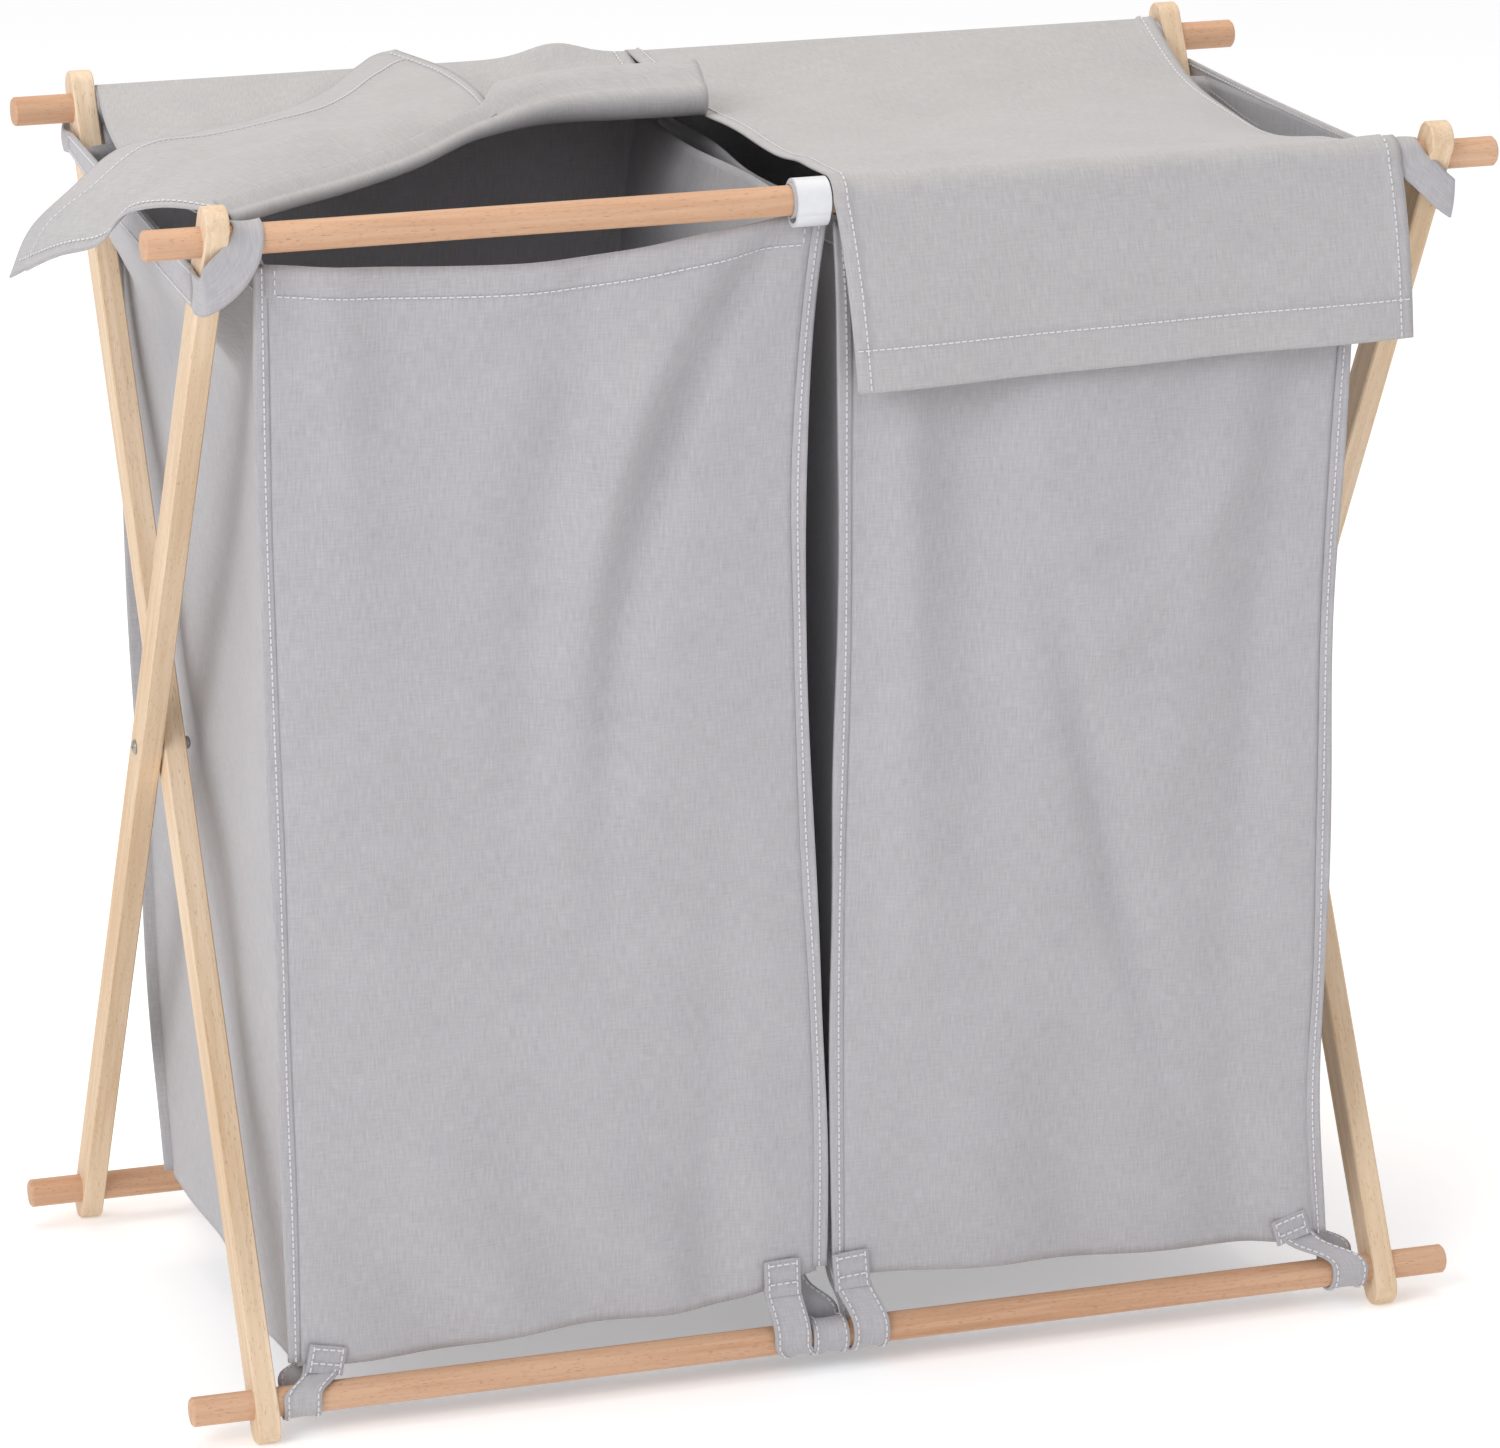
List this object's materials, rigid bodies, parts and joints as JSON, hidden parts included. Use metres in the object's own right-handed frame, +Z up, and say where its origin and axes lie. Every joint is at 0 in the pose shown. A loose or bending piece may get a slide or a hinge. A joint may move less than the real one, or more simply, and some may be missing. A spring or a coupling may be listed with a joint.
{
  "type": "folding laundry sorter",
  "caption": "Wooden folding cross-legged stand with hanging cloth laundry bags side by side, cloth lids that cover them, and straps to the lower bars",
  "frame": {"origin": "on the floor, under the middle of the frame", "axes": "+X to the right along the bars, +Y to the back, +Z up"},
  "size_m": [0.74, 0.3786, 0.6742],
  "materials": {
    "leg_wood": "sanded pale hardwood, unvarnished",
    "bar_wood": "turned beech dowel, unvarnished",
    "bolt_steel": "dull zinc plate",
    "washer_steel": "dull zinc plate",
    "clip_plastic": "moulded plastic",
    "bag_cloth": "thin woven polyester",
    "strap_cloth": "folded and stitched polyester",
    "lid_cloth": "thin woven polyester"
  },
  "bodies": {
    "pivot": {"pivot_bolt_left": "bolt_steel", "pivot_bolt_right": "bolt_steel", "pivot_nut_left": "bolt_steel", "pivot_nut_right": "bolt_steel", "pivot_washer_left": "washer_steel", "pivot_washer_right": "washer_steel"},
    "outer_frame": {"outer_leg_left": "leg_wood", "outer_leg_right": "leg_wood", "top_front_bar": "bar_wood", "bottom_rear_bar": "bar_wood", "bar_clip": "clip_plastic", "centre_tab": "bag_cloth", "front_corner_loop_left": "strap_cloth", "front_corner_loop_right": "strap_cloth"},
    "inner_frame": {"inner_leg_left": "leg_wood", "inner_leg_right": "leg_wood", "top_rear_bar": "bar_wood", "bottom_front_bar": "bar_wood", "rear_corner_loop_left": "strap_cloth", "rear_corner_loop_right": "strap_cloth"},
    "bags": {"left_bag_front": "bag_cloth", "left_bag_back": "bag_cloth", "left_bag_outer_side": "bag_cloth", "left_bag_inner_side": "bag_cloth", "left_bag_bottom": "bag_cloth", "right_bag_front": "bag_cloth", "right_bag_back": "bag_cloth", "right_bag_outer_side": "bag_cloth", "right_bag_inner_side": "bag_cloth", "right_bag_bottom": "bag_cloth", "left_side_band": "strap_cloth", "right_side_band": "strap_cloth"},
    "front_straps": {"front_strap_1": "strap_cloth", "front_strap_2": "strap_cloth", "front_strap_3": "strap_cloth", "front_strap_4": "strap_cloth"},
    "rear_straps": {"rear_strap_1": "strap_cloth", "rear_strap_2": "strap_cloth", "rear_strap_3": "strap_cloth", "rear_strap_4": "strap_cloth"},
    "rear_tunnels": {"left_rear_casing": "lid_cloth", "right_rear_casing": "lid_cloth"},
    "left_lid": {"left_lid": "lid_cloth"},
    "right_lid": {"right_lid": "lid_cloth"}
  },
  "joints": [
    {"name": "fold", "type": "hinge", "parent": "pivot", "child": "outer_frame", "pos_m": [0, 0, 0.33564], "axis": [-1, 0, 0], "range_deg": [0, 27], "deforming": ["left_bag_front", "left_bag_back", "left_bag_outer_side", "left_bag_inner_side", "left_bag_bottom", "right_bag_front", "right_bag_back", "right_bag_outer_side", "right_bag_inner_side", "right_bag_bottom", "left_side_band", "right_side_band", "left_rear_casing", "right_rear_casing", "front_strap_1", "front_strap_2", "front_strap_3", "front_strap_4", "rear_strap_1", "rear_strap_2", "rear_strap_3", "rear_strap_4", "left_lid", "right_lid"]},
    {"name": "inner_fold", "type": "hinge", "parent": "pivot", "child": "inner_frame", "pos_m": [0, 0, 0.33564], "axis": [1, 0, 0], "range_deg": [0, 27]},
    {"name": "bags_rise", "type": "slide", "parent": "pivot", "child": "bags", "axis": [0, 0, 1], "range_m": [0, 0.0446]},
    {"name": "front_straps_follow", "type": "slide", "parent": "pivot", "child": "front_straps", "axis": [0, 0.9643, -0.2648], "range_m": [0, 0.1685]},
    {"name": "rear_straps_follow", "type": "slide", "parent": "pivot", "child": "rear_straps", "axis": [0, -0.9643, -0.2648], "range_m": [0, 0.1685]},
    {"name": "tunnels_follow", "type": "slide", "parent": "pivot", "child": "rear_tunnels", "axis": [0, -0.9643, 0.2648], "range_m": [0, 0.1685]},
    {"name": "left_lid_lift", "type": "hinge", "parent": "rear_tunnels", "child": "left_lid", "pos_m": [0, 0.174, 0.65164], "axis": [-1, 0, 0], "range_deg": [0, 78]},
    {"name": "right_lid_lift", "type": "hinge", "parent": "rear_tunnels", "child": "right_lid", "pos_m": [0, 0.174, 0.65164], "axis": [-1, 0, 0], "range_deg": [0, 105]}
  ],
  "couplings": [
    {"joint": "inner_fold", "follows": "fold", "ratio": 1},
    {"joint": "bags_rise", "follows": "fold", "m_per_rad": 0.0945},
    {"joint": "front_straps_follow", "follows": "fold", "m_per_rad": 0.3573},
    {"joint": "rear_straps_follow", "follows": "fold", "m_per_rad": 0.3573},
    {"joint": "tunnels_follow", "follows": "fold", "m_per_rad": 0.3573}
  ]
}
